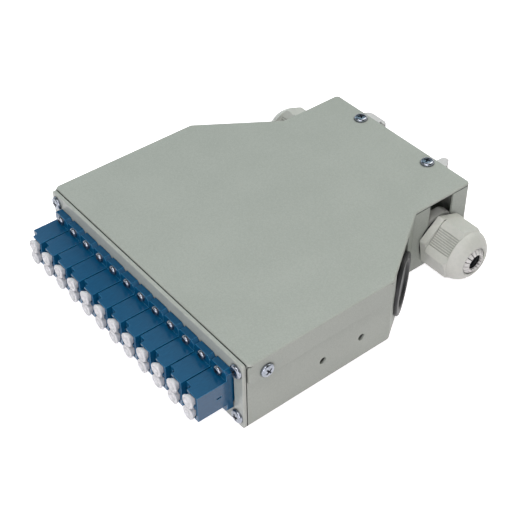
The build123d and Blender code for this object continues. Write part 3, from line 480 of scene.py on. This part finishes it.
def dust_cap():
    """Mesh data of one dust cap: two flared, dished heads along +Z, held together by a web.

    Below z = 0 each has a round neck in its port's mouth and a square plug deeper in.
    """
    neck = [(NEAR_AXIS, CAP_NECK_FROM), (CAP_NECK, CAP_NECK_FROM), (CAP_NECK, CAP_NECK_TO)]
    lip = arc((CAP_FLARE - CAP_LIP, CAP_RISE - CAP_LIP), (CAP_LIP, CAP_LIP),
              start=-30, end=90, steps=6)
    # The dish's wall is straight, with its points closer together at both ends, where it shades
    shares = [(1 + cos(pi * k / DISH_STEPS)) / 2 for k in range(DISH_STEPS + 1)]
    wall = [(CAP_DISH_INNER + (CAP_DISH_OUTER - CAP_DISH_INNER) * share,
             CAP_DISH + (CAP_RISE - CAP_DISH) * share) for share in shares]
    head = turned(neck + lip + wall + [(NEAR_AXIS, CAP_DISH)], steps=48)
    plug = block((CAP_PLUG, CAP_PLUG, CAP_PLUG_FROM), (CAP_PLUG, CAP_PLUG, CAP_PLUG_TO))
    web = block((PORT_PITCH / 2, CAP_WEB, 0), (PORT_PITCH / 2, CAP_WEB, CAP_WEB_RISE))
    ports = [Matrix.Translation((side * PORT_PITCH / 2, 0, 0)) for side in (-1, 1)]
    heads = [(piece, port) for port in ports for piece in (head, plug)]
    return gathered(heads + [(web, Matrix())])


cap = dust_cap()
cap_seat = far("dust_cap_01", Y, LOW) + CAP_RISE
for number, x in enumerate(columns, 1):
    node = f"dust_cap_{number:02d}"
    place = stand(x + PORT_SHIFT, cap_seat, middle, FORWARD, turn=90)
    fit(f"dished_{node}", node, cap, [place], cap_white)

# Floor, in mm, just under the box
FLOOR_HALF, FLOOR_DROP = 3000.0, 0.05
corners = [(x * FLOOR_HALF, y * FLOOR_HALF, -FLOOR_DROP)
           for x, y in ((-1, -1), (1, -1), (1, 1), (-1, 1))]
floor = mesh_object("floor", corners, [(0, 1, 2, 3)])


def seen_directly(tree):
    """1 where the camera, a mirror or a glass looks, 0 where the surface only lights others."""
    path = add(tree, "ShaderNodeLightPath")
    either = add(tree, "ShaderNodeMath", {"operation": "MAXIMUM"}, links={
        0: path.outputs["Is Camera Ray"], 1: path.outputs["Is Glossy Ray"]})
    return add(tree, "ShaderNodeMath", {"operation": "MAXIMUM"}, links={
        0: either.outputs[0], 1: path.outputs["Is Transmission Ray"]}).outputs[0]


# White paper, lifted towards white where it is looked at, so that it adds no light to the box
PAPER_LIFT = 0.82
paper = bpy.data.materials.new("white_paper_sweep")
paper.use_nodes = True
tree = paper.node_tree
tree.nodes.clear()
shade = add(tree, "ShaderNodeBsdfDiffuse", values={"Color": linear("EAE6E8")})
lift = add(tree, "ShaderNodeMath", {"operation": "MULTIPLY"}, {1: PAPER_LIFT}, {
    0: seen_directly(tree)})
shine = add(tree, "ShaderNodeEmission", links={"Strength": lift.outputs[0]})
total = add(tree, "ShaderNodeAddShader", links={0: shade.outputs[0], 1: shine.outputs[0]})
add(tree, "ShaderNodeOutputMaterial", links={"Surface": total.outputs[0]})
floor.data.materials.append(paper)

# Room: a white sweep all round that the camera sees and metal mirrors, under a dark ceiling.
# It darkens between two steepnesses, where 0 is level and 1 straight up.
CEILING = 0.04
SWEEP_FROM, SWEEP_TO = 0.1, 0.45
world = bpy.data.worlds.new("studio")
bpy.context.scene.world = world
world.use_nodes = True
tree = world.node_tree
tree.nodes.clear()
steepness = add(tree, "ShaderNodeSeparateXYZ", links={
    0: add(tree, "ShaderNodeTexCoord").outputs["Generated"]}).outputs["Z"]
sweep = add(tree, "ShaderNodeMapRange", {"interpolation_type": "SMOOTHSTEP"}, {
    "From Min": SWEEP_FROM, "From Max": SWEEP_TO, "To Min": 1.0, "To Max": CEILING}, {
    "Value": steepness})
mirrored = add(tree, "ShaderNodeMath", {"operation": "MULTIPLY"}, links={
    0: seen_directly(tree), 1: sweep.outputs[0]})
lit = add(tree, "ShaderNodeMath", {"operation": "MAXIMUM"}, {1: CEILING}, {0: mirrored.outputs[0]})
level = add(tree, "ShaderNodeMath", {"operation": "MAXIMUM"}, links={
    0: lit.outputs[0], 1: add(tree, "ShaderNodeLightPath").outputs["Is Camera Ray"]})
sky = add(tree, "ShaderNodeBackground", values={"Color": (1, 1, 1, 1)}, links={
    "Strength": level.outputs[0]})
add(tree, "ShaderNodeOutputWorld", links={"Surface": sky.outputs[0]})


def seen_from(azimuth, height):
    """Direction from the box, in degrees: azimuth 0 is in front of it, 90 to its right."""
    az, el = radians(azimuth), radians(height)
    return Vector((sin(az) * cos(el), -cos(az) * cos(el), sin(el)))


# Lamps, in metres and watts; their share of the light was matched to the photograph
LAMP_WIDTH, LAMP_DISTANCE = 0.6, 1.1
LAMP_AIM = Vector((0, -0.01, 0.015))


def lamp(name, azimuth, height, watts, colour):
    """Square soft box that faces the box from this direction."""
    light = bpy.data.lights.new(name, "AREA")
    light.shape = "SQUARE"
    light.size = LAMP_WIDTH
    light.energy = watts
    light.color = colour
    made = bpy.data.objects.new(name, light)
    made.location = seen_from(azimuth, height) * LAMP_DISTANCE
    made.rotation_euler = (LAMP_AIM - made.location).to_track_quat("-Z", "Y").to_euler()
    bpy.context.scene.collection.objects.link(made)


lamp("front_top_box", azimuth=0, height=60, watts=3.5, colour=(1.0, 0.98, 0.97))
lamp("front_right_box", azimuth=40, height=20, watts=4.1, colour=(1.0, 0.94, 1.0))
lamp("right_top_box", azimuth=50, height=55, watts=3.1, colour=(1.0, 0.96, 0.99))
lamp("rear_top_box", azimuth=180, height=50, watts=4.6, colour=(1.0, 0.97, 0.92))
lamp("left_window", azimuth=-90, height=30, watts=1.3, colour=(0.66, 0.85, 1.0))
lamp("left_rear_window", azimuth=-135, height=50, watts=0.9, colour=(0.62, 0.88, 1.0))

# Camera, fitted to the photograph's vanishing lines and to the adapters' pitch
VIEW_AZIMUTH, VIEW_HEIGHT, VIEW_ROLL = 52.04, 41.83, -0.80
VIEW_DISTANCE_MM = 482.1
LOOK_AT_MM = Vector((6.7, -18.5, 17.0))
LENS_MM, FILM_MM = 80.87, 36.0
az, roll = radians(VIEW_AZIMUTH), radians(VIEW_ROLL)
back = seen_from(VIEW_AZIMUTH, VIEW_HEIGHT)
flat_right = Vector((cos(az), sin(az), 0))
flat_up = back.cross(flat_right)
right = cos(roll) * flat_right + sin(roll) * flat_up
up = cos(roll) * flat_up - sin(roll) * flat_right
spot = (LOOK_AT_MM + back * VIEW_DISTANCE_MM) * MM
view = Matrix((
    (right.x, up.x, back.x, spot.x),
    (right.y, up.y, back.y, spot.y),
    (right.z, up.z, back.z, spot.z),
    (0, 0, 0, 1),
))
camera = bpy.data.objects.new("camera", bpy.data.cameras.new("camera"))
camera.data.lens = LENS_MM
camera.data.sensor_width = FILM_MM
camera.data.clip_start = 0.01
camera.matrix_world = view
bpy.context.scene.collection.objects.link(camera)
bpy.context.scene.camera = camera
bpy.context.scene.view_settings.view_transform = "Standard"
